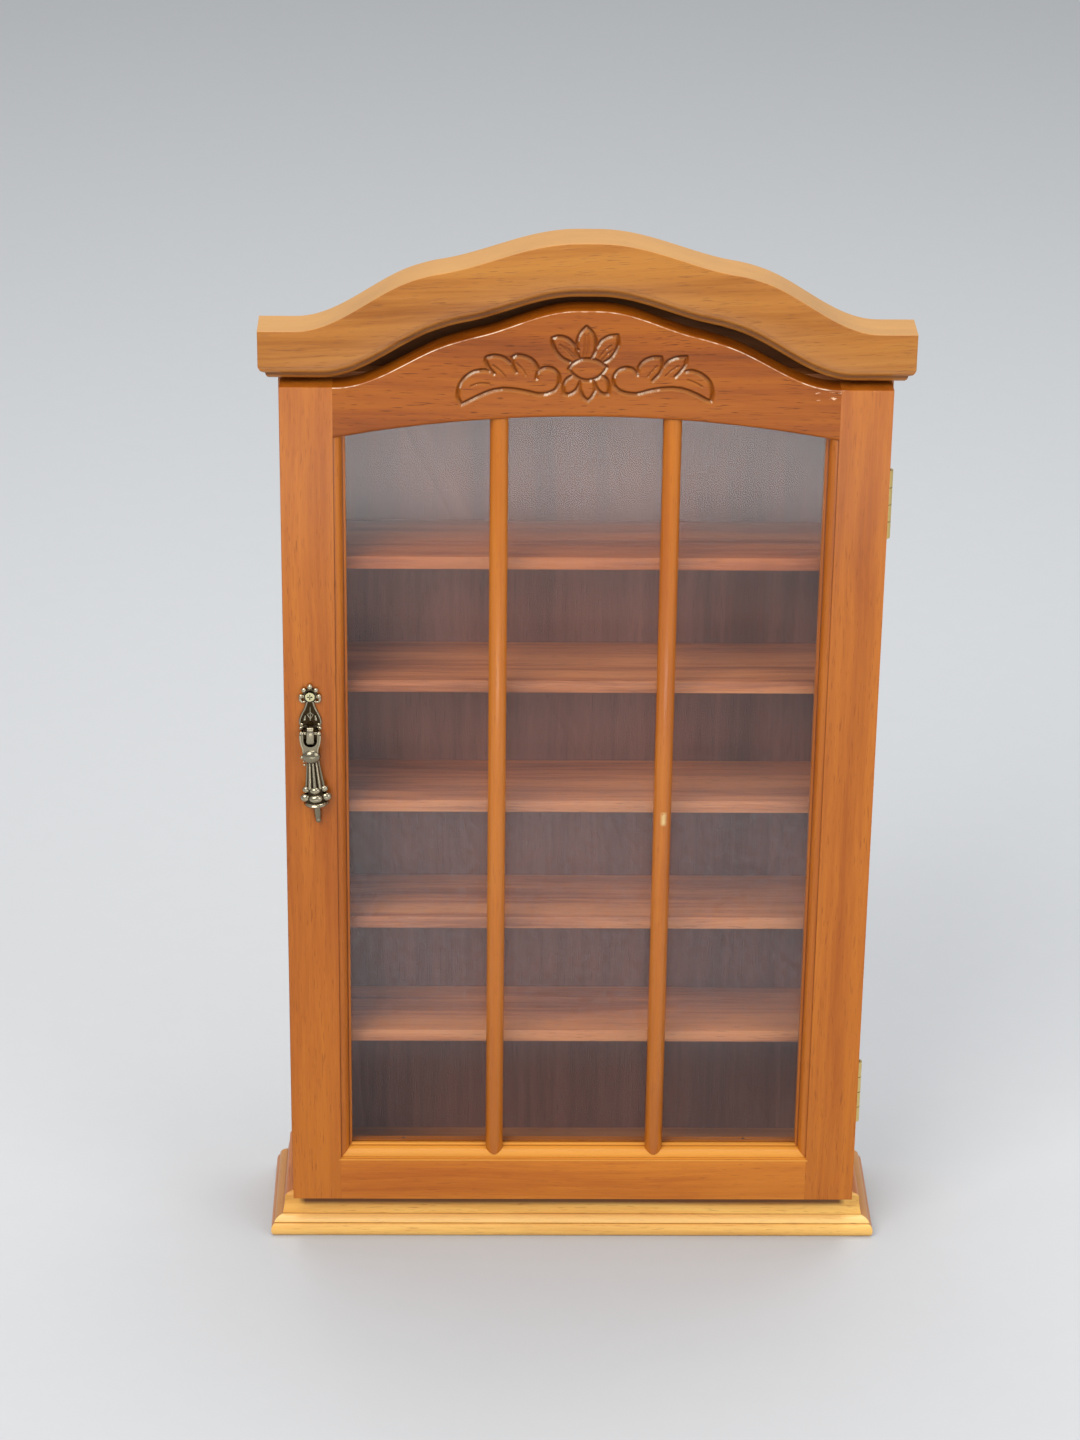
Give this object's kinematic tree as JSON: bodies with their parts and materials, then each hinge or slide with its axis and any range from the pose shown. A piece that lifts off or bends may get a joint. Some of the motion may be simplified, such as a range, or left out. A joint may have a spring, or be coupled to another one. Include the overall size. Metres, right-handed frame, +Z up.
{
  "type": "thimble display case",
  "caption": "Shallow wooden display case with an arched glazed door, thimble shelves, a curved cornice, a moulded foot and a drop pull.",
  "frame": {"origin": "centre of the foot's underside, where the case stands", "axes": "+Z up, -Y to the front with the door, +X to the viewer's right at the door's hinges"},
  "size_m": [0.284, 0.0742, 0.4927],
  "materials": {
    "cornice_wood": "satin lacquered wood",
    "case_wood": "satin lacquered wood",
    "foot_wood": "satin lacquered wood",
    "shelf_wood": "satin lacquered wood",
    "back_wood": "thin grained panel",
    "door_wood": "satin lacquered wood",
    "bar_wood": "satin lacquered wood",
    "dowel_wood": "bare wood",
    "glass": "clear",
    "hinge_brass": "satin",
    "pull_bronze": "darkened, rubbed bright on its raised parts",
    "screw_brass": "satin",
    "steel": "plain",
    "catch_plastic": "moulded",
    "magnet": "plain",
    "pad_rubber": "matte"
  },
  "bodies": {
    "case": {"left_side": "case_wood", "right_side": "case_wood", "top_panel": "case_wood", "bottom_panel": "case_wood", "back_panel": "back_wood", "back_pins": "steel", "hanging_rail": "case_wood", "shelf_1": "shelf_wood", "shelf_2": "shelf_wood", "shelf_3": "shelf_wood", "shelf_4": "shelf_wood", "shelf_5": "shelf_wood", "head_board": "cornice_wood", "cornice": "cornice_wood", "cornice_screws": "steel", "base_board": "case_wood", "foot_front": "foot_wood", "foot_left": "foot_wood", "foot_right": "foot_wood", "upper_case_leaf": "hinge_brass", "lower_case_leaf": "hinge_brass", "case_leaf_screws": "screw_brass", "upper_hinge_pin": "hinge_brass", "lower_hinge_pin": "hinge_brass", "catch_body": "catch_plastic", "catch_magnet": "magnet", "catch_screws": "steel"},
    "door": {"left_stile": "door_wood", "right_stile": "door_wood", "top_rail": "door_wood", "bottom_rail": "door_wood", "frame_dowels": "dowel_wood", "left_bar": "bar_wood", "right_bar": "bar_wood", "glass_pane": "glass", "left_strip": "door_wood", "right_strip": "door_wood", "top_strip": "door_wood", "bottom_strip": "door_wood", "strip_pins": "steel", "upper_door_leaf": "hinge_brass", "lower_door_leaf": "hinge_brass", "door_leaf_screws": "screw_brass", "strike_plate": "steel", "strike_screw": "steel", "bumper_pads": "pad_rubber", "pull_plate": "pull_bronze", "pull_screw": "screw_brass", "pull_pin": "pull_bronze"},
    "pull": {"pull_drop": "pull_bronze"}
  },
  "joints": [
    {"name": "door_hinge", "type": "hinge", "parent": "case", "child": "door", "pos_m": [0.13175, -0.02225, 0.223], "axis": [0, 0, 1], "range_deg": [0, 175]},
    {"name": "pull_hinge", "type": "hinge", "parent": "door", "child": "pull", "pos_m": [-0.1198, -0.03815, 0.2665], "axis": [-1, 0, 0], "range_deg": [0, 95]}
  ]
}
